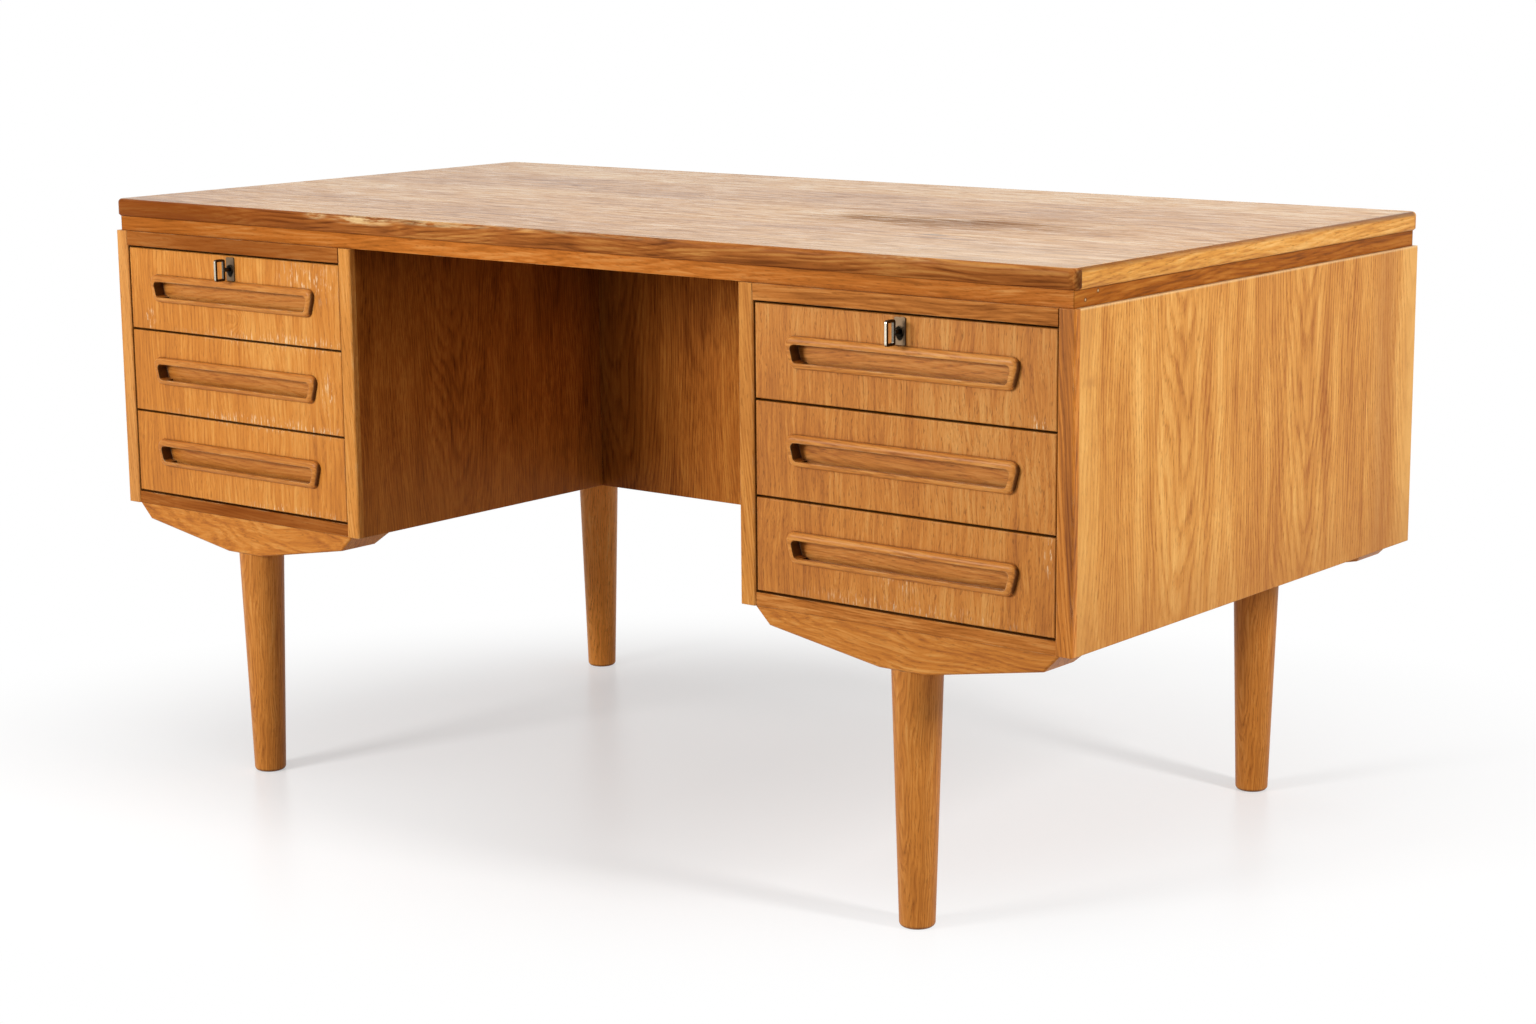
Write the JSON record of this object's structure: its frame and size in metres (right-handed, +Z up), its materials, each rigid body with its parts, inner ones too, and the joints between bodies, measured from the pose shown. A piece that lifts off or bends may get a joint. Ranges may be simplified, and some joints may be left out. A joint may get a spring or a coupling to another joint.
{
  "type": "freestanding desk",
  "caption": "Freestanding oak pedestal desk with a kneehole between banks of drawers, carved pulls, locks with keys, open rear bays, boat-shaped bearers and tapered legs.",
  "frame": {"origin": "on the floor, at the middle of the object's box", "axes": "+X along the length, to the right as seen from the drawer side; +Y from the drawer side to the rear; +Z up"},
  "size_m": [1.44, 0.759, 0.72],
  "materials": {
    "oak_veneer": "satin lacquered veneer",
    "solid_oak": "satin lacquered solid wood",
    "beech": "planed, thin lacquer",
    "plywood": "sanded plywood",
    "nickel": "worn nickel plate"
  },
  "bodies": {
    "desk": {"top_panel": "oak_veneer", "left_outer_side": "oak_veneer", "left_inner_side": "oak_veneer", "right_inner_side": "oak_veneer", "right_outer_side": "oak_veneer", "modesty_panel": "oak_veneer", "drawer_dividers": "oak_veneer", "rear_shelves": "oak_veneer", "left_bottom_board": "oak_veneer", "centre_bottom_board": "oak_veneer", "right_bottom_board": "oak_veneer", "top_lippings": "solid_oak", "apron_rails": "solid_oak", "top_rails": "solid_oak", "left_front_bearer": "solid_oak", "right_front_bearer": "solid_oak", "left_rear_bearer": "solid_oak", "right_rear_bearer": "solid_oak", "left_front_leg": "solid_oak", "right_front_leg": "solid_oak", "left_rear_leg": "solid_oak", "right_rear_leg": "solid_oak", "drawer_runners": "beech"},
    "left_top_drawer": {"left_top_drawer_front": "oak_veneer", "left_top_drawer_pull": "solid_oak", "left_top_drawer_sides": "beech", "left_top_drawer_back": "beech", "left_top_drawer_floor": "plywood", "left_lock": "nickel"},
    "left_middle_drawer": {"left_middle_drawer_front": "oak_veneer", "left_middle_drawer_pull": "solid_oak", "left_middle_drawer_sides": "beech", "left_middle_drawer_back": "beech", "left_middle_drawer_floor": "plywood"},
    "left_bottom_drawer": {"left_bottom_drawer_front": "oak_veneer", "left_bottom_drawer_pull": "solid_oak", "left_bottom_drawer_sides": "beech", "left_bottom_drawer_back": "beech", "left_bottom_drawer_floor": "plywood"},
    "left_key": {"left_key": "nickel"},
    "left_lock_bolt": {"left_lock_bolt": "nickel"},
    "right_top_drawer": {"right_top_drawer_front": "oak_veneer", "right_top_drawer_pull": "solid_oak", "right_top_drawer_sides": "beech", "right_top_drawer_back": "beech", "right_top_drawer_floor": "plywood", "right_lock": "nickel"},
    "right_middle_drawer": {"right_middle_drawer_front": "oak_veneer", "right_middle_drawer_pull": "solid_oak", "right_middle_drawer_sides": "beech", "right_middle_drawer_back": "beech", "right_middle_drawer_floor": "plywood"},
    "right_bottom_drawer": {"right_bottom_drawer_front": "oak_veneer", "right_bottom_drawer_pull": "solid_oak", "right_bottom_drawer_sides": "beech", "right_bottom_drawer_back": "beech", "right_bottom_drawer_floor": "plywood"},
    "right_key": {"right_key": "nickel"},
    "right_lock_bolt": {"right_lock_bolt": "nickel"}
  },
  "joints": [
    {"name": "left_top_drawer_slide", "type": "slide", "parent": "desk", "child": "left_top_drawer", "axis": [0, -1, 0], "range_m": [0, 0.3]},
    {"name": "left_middle_drawer_slide", "type": "slide", "parent": "desk", "child": "left_middle_drawer", "axis": [0, -1, 0], "range_m": [0, 0.3]},
    {"name": "left_bottom_drawer_slide", "type": "slide", "parent": "desk", "child": "left_bottom_drawer", "axis": [0, -1, 0], "range_m": [0, 0.3]},
    {"name": "left_key_turn", "type": "hinge", "parent": "left_top_drawer", "child": "left_key", "pos_m": [-0.508, -0.3535, 0.643], "axis": [0, 1, 0], "range_deg": [0, 90]},
    {"name": "left_bolt_slide", "type": "slide", "parent": "left_top_drawer", "child": "left_lock_bolt", "axis": [0, 0, 1], "range_m": [0, 0.008]},
    {"name": "right_top_drawer_slide", "type": "slide", "parent": "desk", "child": "right_top_drawer", "axis": [0, -1, 0], "range_m": [0, 0.3]},
    {"name": "right_middle_drawer_slide", "type": "slide", "parent": "desk", "child": "right_middle_drawer", "axis": [0, -1, 0], "range_m": [0, 0.3]},
    {"name": "right_bottom_drawer_slide", "type": "slide", "parent": "desk", "child": "right_bottom_drawer", "axis": [0, -1, 0], "range_m": [0, 0.3]},
    {"name": "right_key_turn", "type": "hinge", "parent": "right_top_drawer", "child": "right_key", "pos_m": [0.508, -0.3535, 0.643], "axis": [0, 1, 0], "range_deg": [0, 90]},
    {"name": "right_bolt_slide", "type": "slide", "parent": "right_top_drawer", "child": "right_lock_bolt", "axis": [0, 0, 1], "range_m": [0, 0.008]}
  ],
  "couplings": [
    {"joint": "left_bolt_slide", "follows": "left_key_turn", "m_per_rad": 0.00509},
    {"joint": "right_bolt_slide", "follows": "right_key_turn", "m_per_rad": 0.00509}
  ]
}
